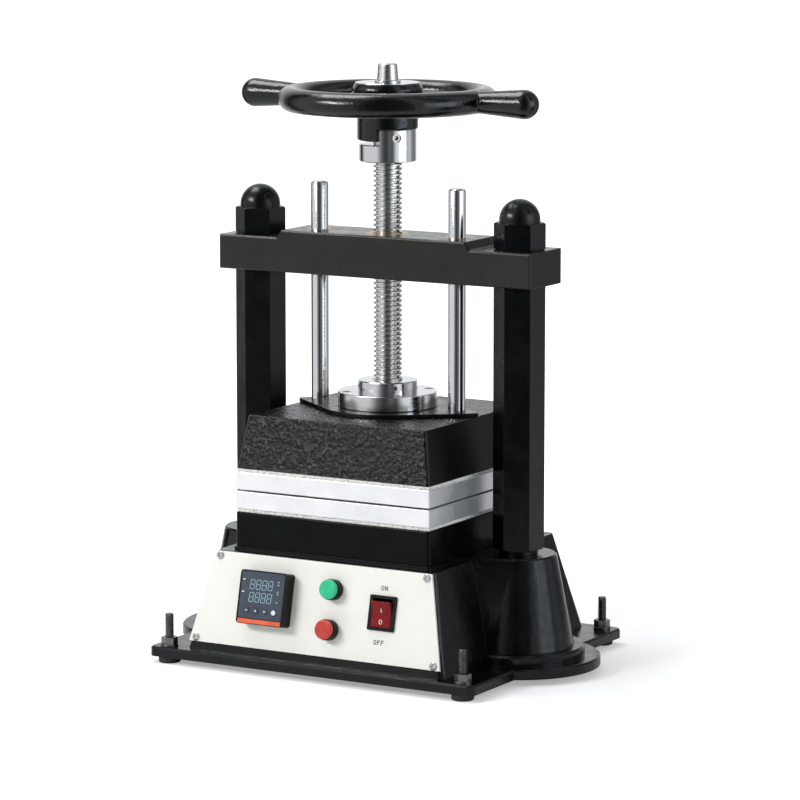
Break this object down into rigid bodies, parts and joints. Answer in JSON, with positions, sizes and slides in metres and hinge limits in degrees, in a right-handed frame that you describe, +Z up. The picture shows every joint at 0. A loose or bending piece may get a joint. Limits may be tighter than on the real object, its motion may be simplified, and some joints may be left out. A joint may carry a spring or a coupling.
{
  "type": "rubber mold vulcanizer",
  "caption": "Bench press for vulcanizing rubber moulds: handwheel and screw raise a heated upper plate over a fixed one, on a cast base with a sloping control panel.",
  "frame": {"origin": "on the ground under the screw's axis, at the middle of the foot plate", "axes": "+Z up along the screw, the control panel faces -Y, the columns stand on +X and -X"},
  "size_m": [0.4172, 0.285, 0.5368],
  "materials": {
    "black_casting": "gloss enamel over rough casting",
    "cover_sheet": "satin",
    "zinc_bolts": "zinc plated",
    "black_bar": "gloss",
    "beam_enamel": "gloss enamel",
    "bronze": "machined",
    "chrome_rod": "ground and chromed",
    "block_casting": "black, rough cast",
    "insulation": "matt board",
    "plate_aluminium": "milled",
    "heater_sheath": "satin",
    "turned_steel": "turned",
    "dark_screws": "blackened",
    "wheel_enamel": "gloss enamel with cast texture",
    "panel_cream": "satin cream",
    "bright_screws": "bright",
    "black_plastic": "fine grain",
    "window_film": "gloss blue-grey",
    "green_lens": "translucent green",
    "red_lens": "translucent red",
    "red_rocker": "gloss",
    "relay_body": "matt",
    "terminal_body": "matt"
  },
  "bodies": {
    "press_frame": {"base_casting": "black_casting", "bottom_cover": "cover_sheet", "foot_bolts": "zinc_bolts", "foot_washers": "zinc_bolts", "foot_nuts": "zinc_bolts", "left_column": "black_bar", "right_column": "black_bar", "left_dome_nut": "black_bar", "right_dome_nut": "black_bar", "crossbeam": "beam_enamel", "screw_nut": "bronze", "left_guide_bush": "bronze", "right_guide_bush": "bronze", "lower_block": "block_casting", "lower_insulation_sheet": "insulation", "lower_heating_plate": "plate_aluminium", "lower_heaters": "heater_sheath", "lower_temperature_probe": "heater_sheath", "control_panel": "panel_cream", "panel_screws": "bright_screws", "temperature_controller": "black_plastic", "controller_window": "window_film", "power_lamp_holder": "black_plastic", "heat_lamp_holder": "black_plastic", "power_lamp_lens": "green_lens", "heat_lamp_lens": "red_lens", "switch_body": "black_plastic", "heater_relay": "relay_body", "terminal_block": "terminal_body", "cable_gland": "black_plastic"},
    "carriage": {"upper_block": "block_casting", "upper_insulation_sheet": "insulation", "upper_heating_plate": "plate_aluminium", "upper_heaters": "heater_sheath", "upper_temperature_probe": "heater_sheath", "lozenge_plate": "turned_steel", "thrust_flange": "turned_steel", "flange_screws": "dark_screws", "retaining_collar": "turned_steel", "thrust_bearing": "turned_steel", "left_guide_rod": "chrome_rod", "right_guide_rod": "chrome_rod"},
    "screw": {"press_screw": "turned_steel", "strike_collar": "turned_steel", "strike_grub_screw": "dark_screws", "snap_ring": "turned_steel"},
    "wheel": {"handwheel": "wheel_enamel"},
    "rocker": {"rocker": "red_rocker"},
    "set_key": {"set_key": "window_film"},
    "shift_key": {"shift_key": "window_film"},
    "down_key": {"down_key": "window_film"},
    "up_key": {"up_key": "window_film"}
  },
  "joints": [
    {"name": "carriage_slide", "type": "slide", "parent": "press_frame", "child": "carriage", "axis": [0, 0, 1], "range_m": [-0.0013, 0.0922]},
    {"name": "screw_turn", "type": "hinge", "parent": "carriage", "child": "screw", "pos_m": [0, 0, 0.35], "axis": [0, 0, 1], "range_deg": [-106.5, 7545]},
    {"name": "wheel_swing", "type": "hinge", "parent": "screw", "child": "wheel", "pos_m": [0, 0, 0.5], "axis": [0, 0, 1], "range_deg": [-158, 0]},
    {"name": "rocker_tilt", "type": "hinge", "parent": "press_frame", "child": "rocker", "pos_m": [0.0664, -0.12079, 0.06513], "axis": [1, 0, 0], "range_deg": [-20, 0]},
    {"name": "set_key_press", "type": "slide", "parent": "press_frame", "child": "set_key", "axis": [0, 0.9748, -0.2233], "range_m": [0, 0.0004], "stiffness_N_per_m": 1000, "springref_m": -0.0002},
    {"name": "shift_key_press", "type": "slide", "parent": "press_frame", "child": "shift_key", "axis": [0, 0.9748, -0.2233], "range_m": [0, 0.0004], "stiffness_N_per_m": 1000, "springref_m": -0.0002},
    {"name": "down_key_press", "type": "slide", "parent": "press_frame", "child": "down_key", "axis": [0, 0.9748, -0.2233], "range_m": [0, 0.0004], "stiffness_N_per_m": 1000, "springref_m": -0.0002},
    {"name": "up_key_press", "type": "slide", "parent": "press_frame", "child": "up_key", "axis": [0, 0.9748, -0.2233], "range_m": [0, 0.0004], "stiffness_N_per_m": 1000, "springref_m": -0.0002}
  ],
  "couplings": [
    {"joint": "screw_turn", "follows": "carriage_slide", "rad_per_m": 1428}
  ]
}
